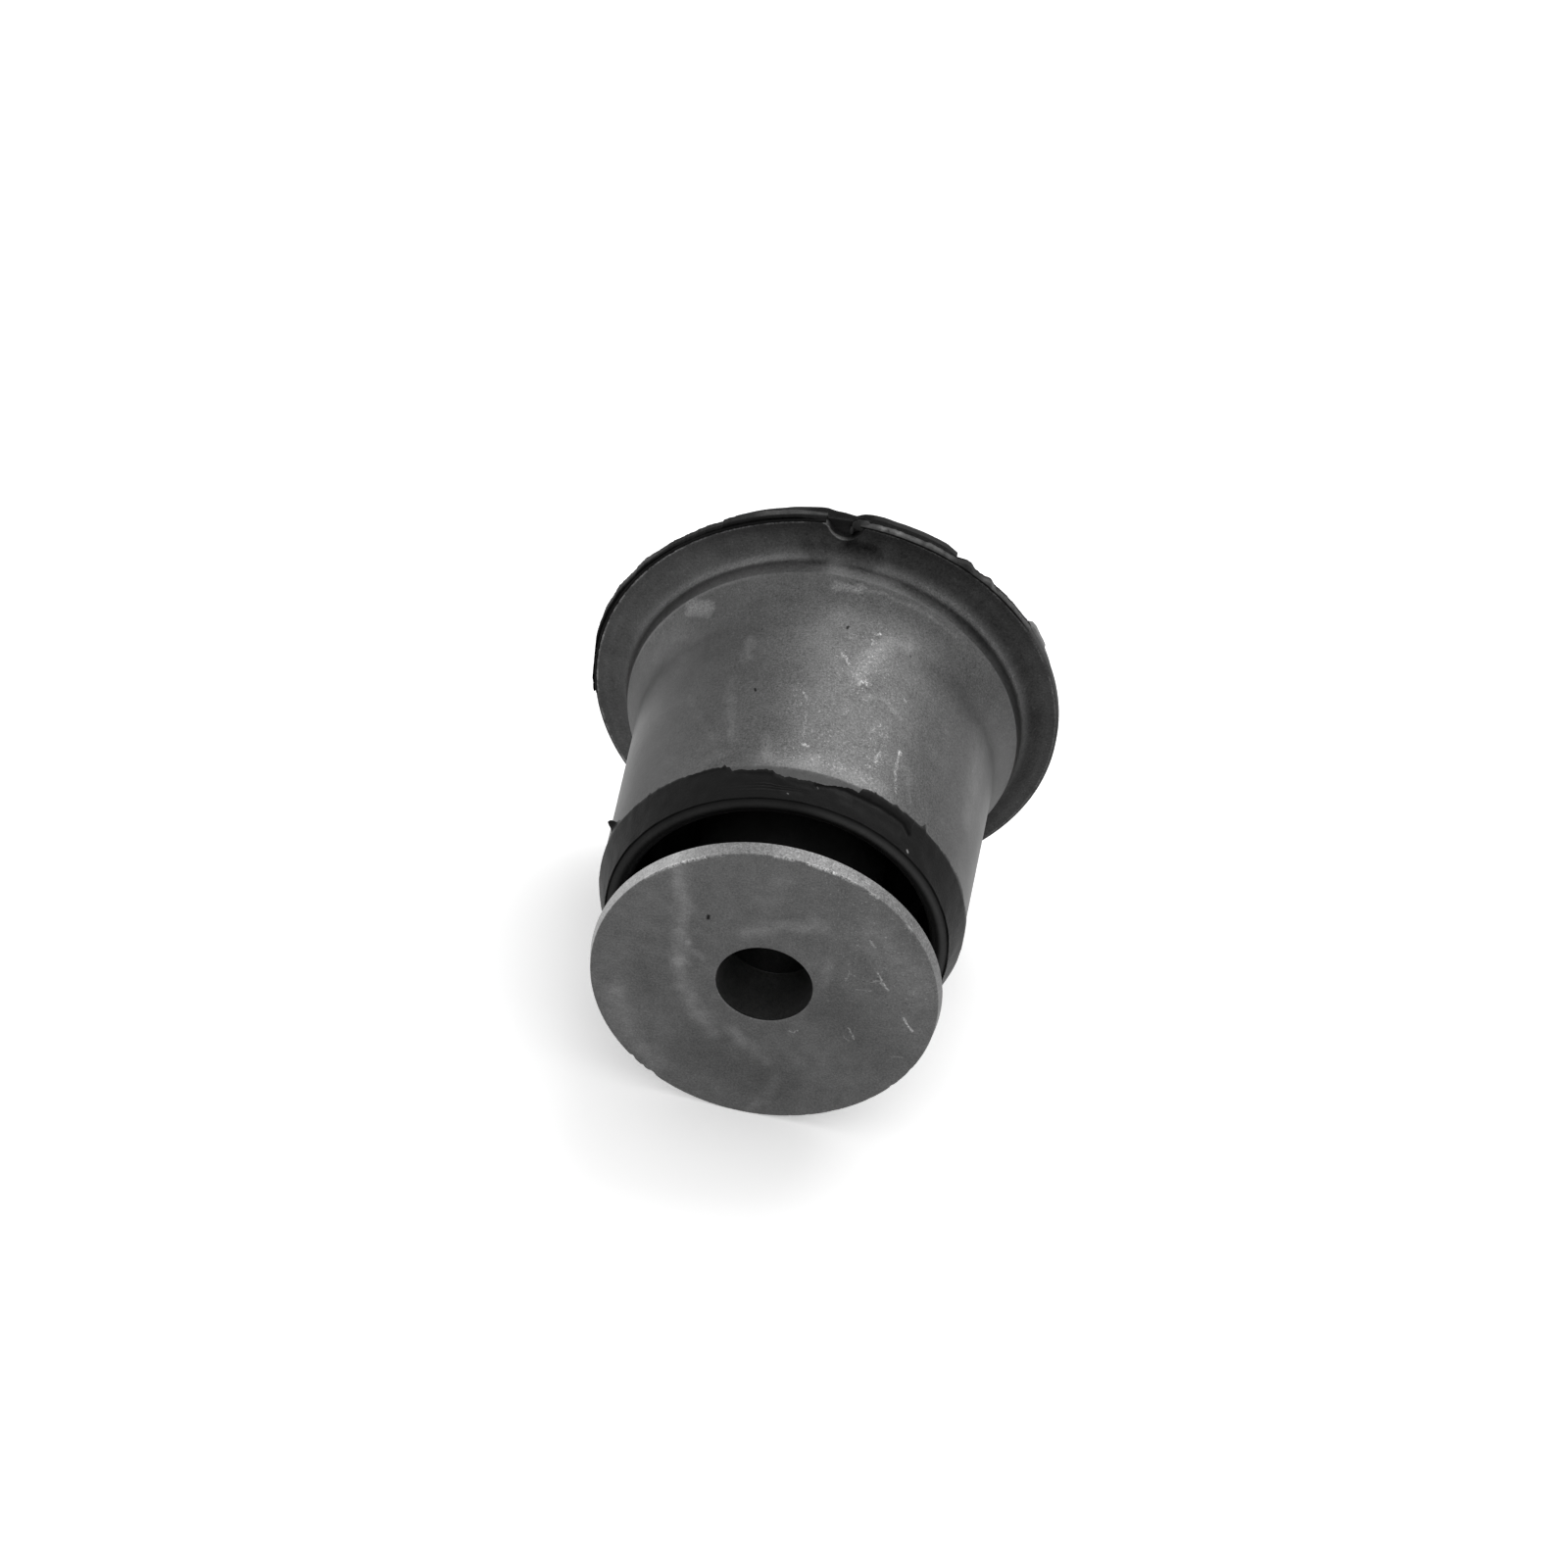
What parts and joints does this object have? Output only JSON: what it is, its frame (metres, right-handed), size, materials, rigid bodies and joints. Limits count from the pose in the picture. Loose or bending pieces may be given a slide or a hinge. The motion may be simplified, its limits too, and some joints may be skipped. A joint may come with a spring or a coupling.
{
  "type": "rubber metal bush",
  "caption": "Flanged rubber-metal bush: a steel sleeve around a rubber body on a steel tube, closed at the front by a thick steel end plate with a bolt hole.",
  "frame": {"origin": "on the bush's axis, at the rear end of the inner sleeve, on which the bush stands", "axes": "+Z along the axis towards the end plate; the flange's notch faces -Y"},
  "size_m": [0.0716, 0.0714, 0.071],
  "materials": {
    "sleeve_steel": "dull grey drawn steel with a fine grain and light scuffs",
    "black_rubber": "satin black moulded rubber",
    "tube_steel": "dull grey steel tube",
    "plate_steel": "dark grey steel with blotchy smears and small scratches"
  },
  "bodies": {
    "root": {"outer_sleeve": "sleeve_steel", "rubber_body": "black_rubber", "inner_sleeve": "tube_steel", "end_plate": "plate_steel"}
  },
  "joints": []
}
